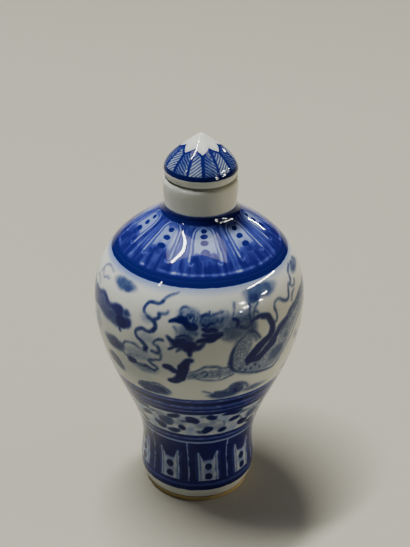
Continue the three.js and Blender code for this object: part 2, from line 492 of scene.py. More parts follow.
class Brush:
    """Lays cobalt on the bottle's outside, in degrees round it and millimetres above the table.

    A field keeps, for every point of the mesh, how much cobalt lies there. Where strokes cross,
    the stronger one stays.
    """

    bleed = 0.02  # millimetres that the cobalt spreads past the brush
    bare_foot = 1.0  # millimetres at the foot that no stroke reaches
    ripple_length, longer = 1.3, 0.45  # the tremor's shortest ripple, and how much each next one gains
    ripple_swing, wider = 0.028, 0.008  # how far it swings, and how much each next one gains

    def __init__(self, mesh):
        self.mesh = mesh
        flat = np.empty(len(mesh.vertices) * 3)
        mesh.vertices.foreach_get("co", flat)
        self.places = flat.reshape(-1, 3) / MM
        marks = np.empty(len(mesh.vertices))
        mesh.attributes["outside"].data.foreach_get("value", marks)
        self.outside = (marks > 0.5) & (self.places[:, 2] > self.bare_foot)
        heights = self.places[self.outside, 2]
        order = np.argsort(heights)
        self.wall_heights = heights[order]
        self.wall_radii = np.hypot(self.places[self.outside, 0], self.places[self.outside, 1])[order]
        self.places = self.places + self.tremor(self.places)
        across, deep, self.heights = self.places.T
        self.turns = np.degrees(np.arctan2(across, -deep))
        self.fields = {}

    def tremor(self, places, ripples=9):
        """How far an unsteady hand misses each place, in millimetres."""
        chance = np.random.default_rng(11)
        missed = np.zeros_like(places)
        for ripple in range(ripples):
            ways = chance.normal(size=3)
            ways *= math.tau / (self.ripple_length + self.longer * ripple) / np.linalg.norm(ways)
            wave = np.sin(places @ ways + chance.uniform(0.0, math.tau))
            swing = self.ripple_swing + self.wider * ripple
            missed += wave[:, None] * chance.normal(size=3) * swing
        return missed

    def radius(self, height):
        """The outside's radius at a height."""
        return np.interp(height, self.wall_heights, self.wall_radii)

    def lay(self, field, tone, where, gaps, soft):
        """Lays a tone where the gap to the stroke's edge is small; soft is the edge's half width."""
        paint = self.fields.setdefault(field, np.zeros(len(self.heights)))
        share = np.clip((soft + self.bleed - gaps) / (2.0 * soft), 0.0, 1.0)
        paint[where] = np.maximum(paint[where], tone * share * share * (3.0 - 2.0 * share))

    def smooth(self, places, steps=10):
        """A curve that passes evenly through the places."""
        given = np.array([places[0], *places, places[-1]], dtype=float)
        shares = np.linspace(0.0, 1.0, steps, endpoint=False)[:, None]
        runs = []
        for before, start, end, after in zip(given, given[1:], given[2:], given[3:]):
            runs.append(0.5 * (2 * start + (end - before) * shares
                               + (2 * before - 5 * start + 4 * end - after) * shares ** 2
                               + (3 * start - before - 3 * end + after) * shares ** 3))
        runs.append(given[-1:])
        return np.concatenate(runs)

    def stroke(self, tone, start_half, end_half, *places, soft=0.4, field="cobalt"):
        """A stroke through places, whose half width runs from one value to another."""
        turns, heights = self.smooth(places).T
        radii = self.radius(heights)
        spots = np.stack([radii * np.sin(np.radians(turns)), -radii * np.cos(np.radians(turns)),
                          heights], axis=1)
        halves = np.linspace(start_half, end_half, len(spots))
        reach = max(start_half, end_half) + soft + self.bleed
        reach_turn = np.degrees(reach / radii.min())
        middle = (turns.min() + turns.max()) / 2
        off = (self.turns - middle + 180.0) % 360.0 - 180.0
        near = np.flatnonzero(self.outside & (abs(off) < np.ptp(turns) / 2 + reach_turn)
                              & (self.heights > heights.min() - reach)
                              & (self.heights < heights.max() + reach))
        gaps = np.full(len(near), reach)
        for spot, half in zip(spots, halves):
            gaps = np.minimum(gaps, np.linalg.norm(self.places[near] - spot, axis=1) - half)
        self.lay(field, tone, near, gaps, soft)

    def dab(self, tone, turn, height, half_turn, half_height, soft=0.4, lean=0.0):
        """An oval dab; lean is how many millimetres it climbs in a degree to the right."""
        off = (self.turns - turn + 180.0) % 360.0 - 180.0
        spread = np.hypot(off / half_turn, (self.heights - height - lean * off) / half_height)
        half = min(math.radians(half_turn) * self.radius(height), half_height)
        near = np.flatnonzero(self.outside & (spread < 1.0 + (soft + self.bleed) / half))
        self.lay("cobalt", tone, near, (spread[near] - 1.0) * half, soft)

    def cloud(self, turn, height, half_turn, lift=1.0, tone=0.62):
        """A small bank of cloud: a flat base, rounded heads and darker curls."""
        for off, up, wide, tall in (
                (0.0, 0.0, 1.0, 0.95), (-0.3, 0.5, 0.5, 0.7), (0.35, 0.35, 0.45, 0.8)):
            self.dab(tone, turn + off * half_turn, height + up * lift, wide * half_turn, tall * lift)
        self.dab(tone + 0.35, turn - 0.2 * half_turn, height - 0.2 * lift, 0.5 * half_turn, 0.4 * lift)
        self.stroke(tone + 0.3, 0.15, 0.2, (turn - 0.9 * half_turn, height),
                    (turn - 0.4 * half_turn, height + 1.0 * lift), (turn, height + 0.5 * lift),
                    (turn + 0.4 * half_turn, height + 0.9 * lift), (turn + 0.9 * half_turn, height))

    def ribbon(self, turn, height, mirror=1.0, size=1.0):
        """A flame ribbon that winds down from a place."""
        bends = ((0, 0), (-4, -0.7), (-9.5, -2.6), (-17, -3.4), (-15, -5), (-10.5, -6.6), (-12, -8.1),
                 (-20, -8.7), (-21, -9.7), (-15, -11.6), (-15.5, -13))
        self.stroke(0.85, 0.2 * size, 0.4 * size,
                    *((turn + mirror * size * across, height + size * up) for across, up in bends))

    def claw(self, turn, height, mirror=1.0):
        """A foot with three hooked claws."""
        for lean in (-1.0, 0.0, 1.0):
            self.stroke(1.3, 0.55, 0.2, (turn, height), (turn - mirror * (5 + lean), height - 1.5 - lean),
                        (turn - mirror * (9 + 2 * lean), height - 1.2 - 2.2 * lean))
        self.dab(1.3, turn, height, 2.6, 0.9)

    def finish(self):
        """Stores every field on the mesh."""
        for field, paint in self.fields.items():
            kept = self.mesh.attributes.new(field, "FLOAT", "POINT")
            kept.data.foreach_set("value", paint.astype(np.float32))


def paint_head(brush):
    """The dragon's head in three-quarter view, with its mane, beard, horns and whiskers."""
    stroke, dab = brush.stroke, brush.dab
    # Washes that shade the face and the neck
    dab(0.5, -5.5, 48.5, 6.5, 1.6, soft=0.8)
    dab(0.55, 6.5, 50.2, 8.5, 1.9, soft=0.8)
    dab(0.52, 20, 48.8, 8.5, 2.3, soft=1.0)
    dab(0.45, 14.5, 50.4, 4.5, 1.7, soft=0.9)
    dab(0.42, 22.5, 50.6, 4.0, 1.5, soft=0.9)
    dab(0.55, 27.5, 49.2, 4.5, 2.6, soft=0.8)
    dab(0.4, -5.5, 51.9, 5.5, 1.1, soft=0.7)
    # The brow and snout
    stroke(1.35, 0.3, 0.62, (-15, 50.3), (-12.4, 50.6), (-9, 50.5), (-6, 50.2), soft=0.34)
    stroke(1.5, 0.62, 0.75, (-8, 50.5), (-5, 49.8), (-2.4, 49.7), soft=0.36)
    dab(1.25, -8.5, 50.9, 3.0, 0.6)
    stroke(0.95, 0.22, 0.2, (-10.6, 51), (-9.8, 52.1), (-8.8, 52.9), (-7, 53.15), (-5.4, 52.7),
           (-4.7, 51.8))
    stroke(1.1, 0.3, 0.2, (-9.8, 51), (-9.6, 51.8), (-8.6, 52.2))
    stroke(1.1, 0.25, 0.25, (-7.2, 51.2), (-6.2, 51.9), (-5, 51.3), (-3.9, 51.7))
    # The mane's locks
    for lock in range(8):
        turn = -3.2 + 2.1 * lock
        rise = 0.5 * (lock % 3 == 1)
        stroke(0.95, 0.28, 0.12, (turn, 50.6), (turn + 0.8, 51.3), (turn + 0.5, 51.9 + rise))
    stroke(1.1, 0.3, 0.2, (1.8, 51.6), (4.2, 51.9), (6.5, 51.6), (9.2, 51.9), (13, 52.2))
    stroke(1.2, 0.45, 0.3, (2.4, 50.2), (4, 49.9), (6, 50.3), (7.6, 50.1))
    stroke(0.85, 0.22, 0.2, (7.5, 50.7), (10, 50.3), (12, 50.6), (14, 49.9))
    stroke(0.75, 0.2, 0.18, (8.5, 49.6), (11, 49.7), (13.2, 49.2), (15, 49.6))
    # The cheek and the lower jaw
    stroke(1.35, 0.5, 0.4, (2.8, 49.3), (4.6, 48.9), (6.6, 49), (8.6, 48.8), soft=0.34)
    stroke(1.35, 0.42, 0.3, (-0.2, 46.7), (4, 46.9), (8, 47.2), (12.4, 47.9), soft=0.34)
    stroke(1.15, 0.4, 0.3, (2.5, 48), (6, 48), (9.2, 48.2), (11.8, 48.2))
    dab(1.1, 7, 47.7, 5.2, 0.65)
    # The beard
    dab(1.05, -8, 46.1, 6.6, 1.3, soft=0.5)
    dab(1.2, -5, 45.6, 4.4, 1.2, soft=0.45)
    dab(1.2, -10, 46.6, 3.0, 0.8)
    stroke(1.2, 0.16, 0.5, (-16.2, 47.3), (-14.8, 46.7), (-12.2, 46.2))
    stroke(1.15, 0.15, 0.4, (-15.8, 44.9), (-13.8, 45.1), (-11.5, 45.6))
    stroke(1.15, 0.15, 0.4, (-11, 44.2), (-9.6, 44.7), (-8.2, 45.2))
    stroke(1.2, 0.6, 0.2, (-5, 45), (-4.6, 44.3), (-4.3, 43.5))
    stroke(1.15, 0.5, 0.3, (-2.6, 45.2), (0, 45.5), (2, 46.2))
    stroke(1.1, 0.35, 0.3, (-11.6, 47.5), (-9, 47.9), (-6, 47.7), (-3, 47.2))
    stroke(0.7, 0.2, 0.2, (-12.6, 49.3), (-11.6, 48.6), (-11, 47.8))
    stroke(0.8, 0.25, 0.25, (-9, 49.4), (-8, 48.7), (-5, 48.6), (-2.5, 48.9), (-1, 48.2))
    # Horns and ears behind the cheek
    stroke(0.7, 0.16, 0.36, (19.7, 53.6), (19.2, 52.6), (18.4, 51.4), (17.4, 50.4))
    stroke(0.6, 0.25, 0.25, (15.2, 52.2), (15.4, 51.2), (16.4, 50.2))
    stroke(1.15, 0.42, 0.4, (18.4, 50.6), (20, 50.5), (21.4, 50), (21, 49.2))
    stroke(0.75, 0.28, 0.25, (13.5, 49.1), (17, 48.7), (20, 48.9), (23, 49.2))
    stroke(1.0, 0.4, 0.3, (23, 48.9), (25.5, 48.5), (27.5, 48.6))
    stroke(0.75, 0.25, 0.25, (22.4, 51.6), (24.2, 51), (25, 50))
    stroke(0.9, 0.3, 0.3, (28.2, 53), (28.6, 51.8), (28, 50.5), (28.6, 49), (28, 47.5))
    stroke(0.8, 0.24, 0.2, (33.8, 52.4), (31.8, 51.6), (31, 50.4), (29.4, 49.6))
    stroke(0.7, 0.22, 0.2, (33.6, 50.7), (32.4, 51.2), (30.8, 51))


def paint_front_body(brush):
    """The scaled body that loops behind the head and rises to the right."""
    stroke, dab = brush.stroke, brush.dab
    # The scaled bands
    for half, places in (
        ((0.9, 1.7), ((14, 47.6), (19, 47.6), (24, 47), (24.4, 45))),
        ((2.0, 1.7), ((24, 46), (22.6, 43.6), (21.8, 41.6), (23.4, 40.2), (28, 39.3), (34, 39),
                      (40, 39.3))),
        ((1.9, 1.9), ((40, 39.6), (45, 40.4), (49, 41.8), (52, 43.4))),
        ((1.9, 1.3), ((52, 43.8), (58, 45.6), (65, 46.9), (73, 47.7), (82, 48))),
        ((1.0, 1.2), ((17, 39.3), (12, 39.2), (5, 39), (-1, 38.8), (-4.4, 38.9))),
    ):
        stroke(1.0, *half, *places, soft=0.5, field="scales")
    # Shade under the bands
    dab(0.72, 46.5, 40.4, 6.5, 1.8, soft=1.0, lean=0.1)
    stroke(0.45, 0.7, 0.7, (30, 38.6), (38, 38), (46, 38.2), (52, 39.6), soft=0.7)
    stroke(0.62, 0.7, 0.8, (48, 44.8), (55, 46.4), (63, 47.7), (72, 48.5), (82, 49), soft=0.8)
    dab(0.55, 52.5, 43.4, 3.5, 1.0, soft=0.8)
    # The dark fold of the body, doubled below by a second one
    stroke(1.1, 0.25, 0.45, (27.5, 48.6), (30.5, 49.6), (34, 50), (37.5, 49.7))
    stroke(1.25, 0.5, 0.85, (36.5, 49.7), (39.4, 49.2), (41.2, 48), (41.4, 46.8), (40.2, 45.6),
           (37.4, 44.8), soft=0.34)
    stroke(1.35, 0.8, 1.1, (38.4, 45), (35, 44.2), (32, 43.1), (29.4, 42), (28.4, 41.3))
    stroke(1.25, 0.6, 0.95, (28.4, 41.2), (31, 40.8), (34, 40.9), (37, 41.8), (40, 42.8), (42.6, 43.6))
    stroke(1.05, 0.8, 0.6, (41, 43.4), (43.8, 44.6), (46.4, 45.8), (50, 46.4), (54, 46.9))
    stroke(0.8, 0.45, 0.45, (53, 46.8), (58, 48), (64, 48.7), (70, 49.3), (76, 49.6), (83, 49.4))
    # The outer edge of the loop
    stroke(0.75, 0.22, 0.3, (26, 47.8), (23, 46.9), (20.4, 45.9), (18.4, 44.5))
    stroke(0.9, 0.3, 0.5, (18.4, 44.5), (17, 43), (16.7, 41.6), soft=0.36)
    stroke(0.9, 0.5, 0.28, (16.7, 41.6), (17.4, 40.4), (19.2, 39.4), (22, 38.8), soft=0.36)
    stroke(0.9, 0.28, 0.22, (22, 38.8), (26, 38.2), (31, 37.8), (36, 37.2), (41, 36.8), (46, 36.9),
           (50, 37.8))
    stroke(0.55, 0.22, 0.22, (50, 37.8), (54, 40), (58, 42), (63, 43.9), (70, 45.4), (80, 46))
    for turn, height in ((23, 39.4), (26.4, 38.9), (29.4, 38.9), (32, 39.4), (35, 38.6), (27, 40.2)):
        dab(0.95, turn, height, 1.0, 0.34, soft=0.25)
    # Folds in the neck
    stroke(0.8, 0.35, 0.3, (27.4, 48), (29.6, 47.4), (31.4, 46.6), (33, 45.8))
    stroke(0.7, 0.24, 0.24, (28.4, 46.8), (30, 46.2), (31, 45.4))
    # The leg that reaches forward under the head, and its foot
    stroke(0.8, 0.2, 0.2, (17.5, 40.7), (13, 40.3), (9, 40.9), (4, 41), (0.8, 40.2), (-4.6, 39.5))
    stroke(0.75, 0.2, 0.2, (19, 38.4), (14, 37.6), (9, 37.3), (4, 37.4), (-1, 38), (-4.8, 38.7))
    stroke(0.85, 0.26, 0.26, (-3.8, 38.8), (-2, 39.1), (-0.6, 38.7), (-2, 38.3))
    stroke(0.85, 0.28, 0.22, (2.2, 39.4), (3.8, 39.8), (4.8, 39.1), (3.6, 38.5))
    stroke(0.75, 0.22, 0.2, (6.6, 40), (7.8, 39.2), (7.4, 38.2))
    stroke(0.7, 0.2, 0.2, (10.5, 40.3), (11.6, 39.2), (11, 38))
    stroke(1.25, 0.3, 0.85, (-3.6, 42.6), (-5.6, 42.4), (-7.2, 41.4), (-8.4, 40.4), soft=0.36)
    stroke(1.45, 0.9, 0.95, (-8.2, 40.6), (-8.6, 39.4), (-9.4, 38.2), soft=0.36)
    stroke(1.4, 0.9, 0.4, (-9.4, 38.3), (-11.6, 37.4), (-14.8, 36.9), soft=0.36)
    stroke(1.3, 0.6, 0.5, (-17.2, 40.3), (-15, 40.1), (-12.6, 39.5), (-10, 39.3), soft=0.36)


def paint_flames(brush):
    """Flame ribbons and scrolls beside the head, with faint grey washes that also paint shade on the lower
    left.
    """
    stroke, dab = brush.stroke, brush.dab
    stroke(0.6, 0.18, 0.28, (-12.2, 55.5), (-14, 55.1), (-16.5, 54.7), (-18.6, 54.3), (-20.6, 53.5),
           soft=0.28)
    stroke(0.95, 0.3, 0.3, (-20.2, 53.6), (-22.2, 53), (-26, 53.1), (-29, 52.7), (-30.6, 51.8),
           (-30.3, 50.9), (-28.6, 50.3), soft=0.3)
    stroke(0.95, 0.3, 0.5, (-28.6, 50.3), (-26, 49.9), (-24, 49.3), (-23.2, 48.6), (-24.4, 47.9), soft=0.32)
    stroke(0.9, 0.4, 0.3, (-24.4, 47.9), (-27, 47.5), (-30.4, 47.6), (-33.2, 47.2), (-34.2, 46.4),
           (-33.2, 45.6), soft=0.3)
    stroke(0.95, 0.34, 0.36, (-33.2, 45.6), (-31, 44.9), (-29.2, 44.3), (-27.8, 43.6), soft=0.3)
    dab(1.15, -28.6, 43.5, 1.7, 0.62, soft=0.35)
    stroke(0.9, 0.34, 0.3, (-25, 50), (-23.2, 50.4), (-22, 50.8), (-21.9, 51.4), soft=0.3)
    stroke(0.8, 0.26, 0.24, (-22, 51.3), (-19.8, 51.5), (-18, 51.7), (-17, 52.2))
    stroke(0.85, 0.24, 0.26, (-18.6, 46.3), (-21, 46.1), (-23.2, 45.6), (-23.4, 44.9), (-21.4, 44.6),
           (-20.6, 44), (-21.8, 43.4), (-24.6, 43.2))
    stroke(0.85, 0.24, 0.26, (-20.3, 43.2), (-20.3, 42.1), (-22.6, 41.7), (-26.2, 41.1), (-25.2, 40.4),
           (-23.2, 39.9), (-22.6, 39.2), (-24.4, 38.8))
    stroke(0.95, 0.32, 0.26, (-24.4, 38.8), (-28, 39.2), (-31, 38.9), (-34, 38.9), (-37, 39.3), soft=0.3)
    dab(1.35, -38.1, 39.4, 2.7, 0.75)
    stroke(0.75, 0.22, 0.24, (-27.2, 42.7), (-31, 42.9), (-35, 43.6), (-39, 43.5), (-42.6, 43),
           (-44.4, 41.8), (-43.4, 40.4), (-40, 39.7))
    stroke(0.6, 0.18, 0.18, (-40.5, 40.2), (-36, 41.1), (-31.5, 41.3), (-27, 40.8))
    dab(0.42, -31, 38.6, 8.5, 1.1, soft=0.7)
    dab(0.28, -33, 41.6, 9, 1.6, soft=0.8)
    dab(0.3, -28.5, 49.9, 4, 0.8, soft=0.7)
    dab(0.25, -28, 46, 5, 1.3, soft=0.9)
    # Faint grey washes, partly painted shade, that darken the white to the lower left of the head
    dab(0.13, -22, 42.5, 17, 4.5, soft=2.5)
    dab(0.1, -38, 37, 14, 3, soft=2)
    stroke(0.72, 0.24, 0.32, (42.6, 47.6), (44.8, 47.7), (46, 48.4), (46, 49.4), (45.2, 50.2),
           (45.4, 51.1),
           (47.4, 51.6), (49.6, 51.5), (52, 50.9), (54.6, 50.4), (56.8, 50.3), soft=0.28)
    stroke(0.8, 0.34, 0.3, (56.8, 50.3), (58.4, 50.8), (59.4, 51.8), (61, 52.6), (63.4, 52.6), (65.4, 53),
           (65.4, 54), (67.4, 54.6), (71, 55.1))
    stroke(0.6, 0.28, 0.2, (60, 49.6), (61.6, 50.3), (63.6, 50.8), (66, 50.9))
    stroke(0.75, 0.3, 0.2, (62.6, 52.4), (64.8, 51.8), (67.4, 51.7), (69.6, 52.4))


def paint_front_clouds(brush):
    """Banks of cloud round the dragon, and the tail that comes in from the left."""
    stroke, dab = brush.stroke, brush.dab
    # Above the dragon, left and right
    dab(0.68, -48.3, 54, 8.6, 1.05, soft=0.5)
    dab(0.85, -46, 53.8, 4.8, 0.75, soft=0.5)
    stroke(0.8, 0.16, 0.16, (-55.5, 54), (-52, 54.6), (-48, 54.4), (-45, 54.8), (-41, 54.2))
    dab(0.6, 38.5, 54.3, 11.5, 1.15, soft=0.5)
    dab(0.78, 32, 53.7, 4.2, 0.9, soft=0.5)
    dab(0.72, 43.5, 54.5, 4.5, 0.55, soft=0.35)
    stroke(0.45, 0.5, 0.4, (27.6, 54.6), (28, 53.4), (29.5, 52.4), (32, 52), soft=0.6)
    # Below the dragon
    dab(0.9, -27, 33.2, 9.6, 1.3, soft=0.5)
    stroke(0.95, 0.2, 0.2, (-37, 33), (-35.5, 34), (-31, 34.5), (-26, 34.9), (-21, 34.7), (-16.8, 33.6))
    dab(0.95, -30, 32.9, 4.5, 0.5)
    stroke(0.7, 0.16, 0.2, (3, 34.2), (6, 34), (8.5, 33.4))
    dab(0.78, 15, 33, 9.5, 1.05, soft=0.45)
    dab(0.85, 22.5, 34.3, 4.6, 1.6, soft=0.45)
    dab(1.1, 22, 33.8, 2.0, 0.9, soft=0.45)
    stroke(1.0, 0.18, 0.2, (10, 34), (14, 34), (17.5, 34.6), (19.6, 35.7), (23.5, 36), (27, 35.3),
           (29.5, 34.2))
    dab(0.5, 34, 33.2, 8.5, 0.75, soft=0.5)
    dab(0.35, 66, 40.8, 3.5, 1.0, soft=0.9, lean=-0.2)
    # The left-hand blobs
    dab(0.8, -51, 41.3, 8.6, 1.4, soft=0.6)
    dab(1.0, -49.5, 41.1, 4.6, 0.9, soft=0.5)
    dab(0.85, -53, 36.4, 6.5, 1.6, soft=0.6, lean=-0.1)
    dab(1.2, -50, 35.9, 3.2, 0.8, soft=0.5)
    dab(0.3, -70, 43.4, 4.5, 2.6, soft=1.2)
    # The tail
    stroke(0.8, 1.5, 1.9, (-80, 47.6), (-70, 47.7), (-62, 47.8), (-56, 47.4), (-48, 47.6), soft=0.7)
    stroke(1.0, 0.55, 0.65, (-76, 49), (-70, 49.2), (-65, 49.7), (-61, 49.5), (-57, 48.9), (-53, 48.9),
           soft=0.5)
    dab(1.25, -48.5, 48.9, 4.6, 1.2, soft=0.5)
    dab(1.6, -45, 47.2, 4.4, 1.35, soft=0.5)
    dab(1.1, -41, 47.5, 2.8, 1.1, soft=0.6)
    dab(0.9, -41.6, 49.3, 2.4, 0.7, soft=0.5)
    stroke(1.1, 0.3, 0.15, (-46, 46), (-45.6, 45.5), (-45, 45), soft=0.35)
    dab(0.45, -57, 46.6, 9, 1.2, soft=0.8)
    # Thin scrolls over the tail
    stroke(0.55, 0.18, 0.18, (-76.5, 52.3), (-75, 53.4), (-73.6, 54.2), (-71, 54.6), (-66, 54.7),
           (-61.5, 54.6))
    stroke(0.55, 0.18, 0.18, (-74.6, 53.2), (-72.4, 52.5), (-70, 52.2), (-67.6, 52.6), (-66, 53),
           (-62.8, 53))
    stroke(0.45, 0.2, 0.2, (-80, 51.2), (-76, 51.4), (-72, 50.6))


def paint_back(brush):
    """The side away from the camera, in keeping: the body's waves, hind legs, flames and clouds."""
    stroke, cloud = brush.stroke, brush.cloud
    wave = ((82, 48.2), (92, 47.2), (101, 43.8), (109, 39.8), (119, 37.4), (130, 37.9), (139, 41.3),
            (148, 45.2), (158, 47.8), (170, 48.4), (181, 46.3), (189, 42.6), (198, 39.4), (209, 38.5),
            (220, 40.2), (230, 43.4), (241, 46.3), (253, 47.8), (266, 48.1), (280, 48))
    stroke(1.0, 1.7, 0.9, *wave, soft=0.5, field="scales")
    stroke(1.0, 0.45, 0.35, *((turn, height + 1.7) for turn, height in wave[:9]), soft=0.35)
    stroke(1.0, 0.35, 0.3, *((turn, height + 1.35) for turn, height in wave[8:]), soft=0.35)
    stroke(0.8, 0.28, 0.24, *((turn, height - 1.5) for turn, height in wave))
    for hip, knee, foot, mirror in ((122, 128, 120, 1.0), (208, 202, 212, -1.0)):
        stroke(1.0, 1.2, 0.8, (hip, 38), (knee, 36.2), (foot, 34.9), soft=0.5, field="scales")
        stroke(0.85, 0.25, 0.2, (hip + 3, 36.6), (knee + 3, 35.5), (foot + 2, 34.2))
        brush.claw(foot, 34.9, mirror)
    for turn, height, mirror in ((112, 55.2, 1.0), (150, 38.8, -0.6), (190, 55.3, 1.0), (236, 40.5, 0.6),
                                 (262, 42.8, 0.7)):
        brush.ribbon(turn, height, mirror, abs(mirror))
    for turn, height, half_turn in ((78, 54, 8), (108, 52.2, 7), (136, 53.9, 9), (172, 53.6, 8),
                                    (214, 54.1, 9), (250, 53.8, 8), (96, 36.5, 8), (150, 33.4, 9),
                                    (182, 34.2, 9), (240, 33.5, 9), (262, 36.5, 7), (68, 33.6, 8)):
        cloud(turn, height, half_turn)
    brush.dab(1.2, 163, 41.5, 3.4, 1.25)
    for tongue in range(5):
        lean = tongue - 2
        stroke(0.9, 0.3, 0.12, (163 + 3.2 * lean, 42.6 - 0.25 * lean ** 2), (164 + 4.2 * lean, 44.0),
               (163 + 4.6 * lean, 45.0))


def paint_scroll(brush):
    """The narrow band of leaf scroll below the dragon, as one length repeated."""
    chance = np.random.default_rng(5)
    repeats = 5
    leaves = ((-18, 25.4, 4.2, 0.6, 0.06), (-4, 24.6, 4.2, 0.85, -0.09), (-12.3, 21.5, 2.4, 0.7, 0),
              (-21, 20.1, 4.8, 0.6, 0), (8.2, 21, 4.6, 0.85, 0.06), (10.2, 25.4, 3.6, 0.65, -0.1),
              (26, 25.9, 6.2, 0.6, 0), (21.6, 20.4, 3.0, 0.65, 0), (29.5, 23.5, 3.9, 0.6, 0.03),
              (39.5, 21.2, 4.6, 0.85, -0.08))
    blots = ((0.75, -25, 23.2, 6.2, 1.5), (0.6, -9.5, 23.8, 4.4, 0.5), (0.65, 2.2, 20.5, 4.6, 0.6),
             (0.5, 4, 26, 3.5, 0.5), (0.6, 36, 25, 5, 0.5))
    washes = ((-14, 23, 6), (4, 22.6, 7), (17, 21.6, 5), (44, 24.6, 6), (12, 23.4, 4))
    for repeat in range(repeats):
        shift = 360.0 / repeats * repeat
        for turn, height, half_turn, half_height, lean in leaves:
            brush.dab(1.45, turn + shift, height, 1.1 * half_turn, 1.15 * half_height, soft=0.34, lean=lean)
            side = chance.uniform(-0.9, 0.9)
            rise = chance.uniform(-0.6, 0.6)
            swell = chance.uniform(0.45, 0.7)
            brush.dab(1.2, turn + shift + side * half_turn, height + rise * half_height, swell * half_turn,
                      swell * half_height + 0.15, soft=0.36, lean=-lean)
        for tone, turn, height, half_turn, half_height in blots:
            brush.dab(tone, turn + shift, height, half_turn, half_height)
        for turn, height, half_turn in washes:
            brush.dab(0.36, turn + shift, height, half_turn, 1.3, soft=0.9)
        for vine in (
            ((6.5, 26), (9, 26.4), (13, 25.4), (14.6, 24.5), (17, 23.8), (21, 23.6)),
            ((20.4, 23.6), (21.6, 22.6), (21.8, 20.8)),
            ((-8, 24), (-12, 23.6), (-15, 24.6)),
            ((33, 24), (36, 23), (38, 21.8)),
            ((42, 21.8), (46, 22.6), (49, 23.5)),
        ):
            brush.stroke(0.75, 0.16, 0.16, *((turn + shift, height) for turn, height in vine))


class Glaze(Tree):
    """A glaze's shader, and what its bands are drawn with.

    Heights are in millimetres above the table, turns and sides in degrees round the piece, and
    cobalt runs from none, through one where it is laid twice, to the densest at two.
    """

    most = 2.0  # the densest cobalt
    specular = 0.16  # how strongly the glaze mirrors the room
    ripple_patch, ripple_strength, ripple_depth = 2.6, 0.12, 0.05 * MM  # the glaze's faint unevenness

    def __init__(self, name):
        self.material = bpy.data.materials.new(name)
        self.material.use_nodes = True
        super().__init__(self.material.node_tree)
        self.place = self.node("ShaderNodeTexCoord", out=3)
        across = self.node("ShaderNodeSeparateXYZ", values={"Vector": self.place})
        deep = across.other(1)
        self.height = across.other(2) / MM
        self.radius = self.maths("SQRT", across * across + deep * deep) / MM
        self.turn = self.maths("ARCTAN2", across, -deep) * math.degrees(1.0)

    def step(self, value, low, high):
        """Rises smoothly from nothing at low to all at high."""
        return self.node("ShaderNodeMapRange", {"interpolation_type": "SMOOTHSTEP"}, {
            "Value": value, "From Min": low, "From Max": high})

    def within(self, value, low, high, soft):
        """All between two limits, with soft edges."""
        return self.step(value, low - soft, low + soft) * self.step(value, high + soft, high - soft)

    def noise(self, patch, place=None):
        """Cloudy values about nothing, in patches of that many millimetres."""
        return self.node("ShaderNodeTexNoise", values={
            "Vector": place or self.place, "Scale": 1.0 / (patch * MM), "Detail": 2.0}) - 0.5

    def field(self, name):
        """What a brush stored."""
        return self.node("ShaderNodeAttribute", {"attribute_name": name}, out=2)

    def panels(self, turn, panel_count, centre):
        """Degrees from the middle of the nearest of so many panels round the bottle."""
        width = 360.0 / panel_count
        return (turn - (centre - width / 2)) % width - width / 2

    def spread(self, across, up, half_across, half_up):
        """How far a place is from an oval's middle: one on its edge."""
        across = across / half_across
        up = up / half_up
        return self.maths("SQRT", across * across + up * up)

    def oval(self, across, up, half_across, half_up):
        """A soft-edged oval."""
        return self.step(self.spread(across, up, half_across, half_up), 1.25, 0.8)

    def cobalt(self, look, density, pale, middle):
        """The glaze's colour where cobalt of that density lies under it."""
        stops = ((0.0, look.white), (0.35, pale), (0.7, middle), (1.2, look.dark), (self.most, look.deep))
        return self.node("ShaderNodeValToRGB", {
            "stops": [(place / self.most, tint) for place, tint in stops]}, {"Fac": density / self.most})

    def finish(self, colour_value, roughness):
        """Puts the glaze's colour and gloss on its surface."""
        surface = self.tree.nodes["Principled BSDF"]
        self.feed(surface.inputs["Base Color"], colour_value)
        self.feed(surface.inputs["Roughness"], roughness)
        self.feed(surface.inputs["Specular IOR Level"], self.specular)
        bump = self.node("ShaderNodeBump", values={
            "Height": self.noise(self.ripple_patch), "Strength": self.ripple_strength,
            "Distance": self.ripple_depth})
        self.feed(surface.inputs["Normal"], bump)
        return self.material


SHOULDER_PANELS, SHOULDER_FRONT = 9, 4.0  # tongues round the shoulder, and where the front one points
FOOT_PANELS, FOOT_FRONT = 9, 12.0
LEAVES, LEAF_FRONT = 7, 4.5
BARE_INSIDE, BARE_OUTSIDE = 8.6, 8.9  # radii in millimetres between which the bare clay begins


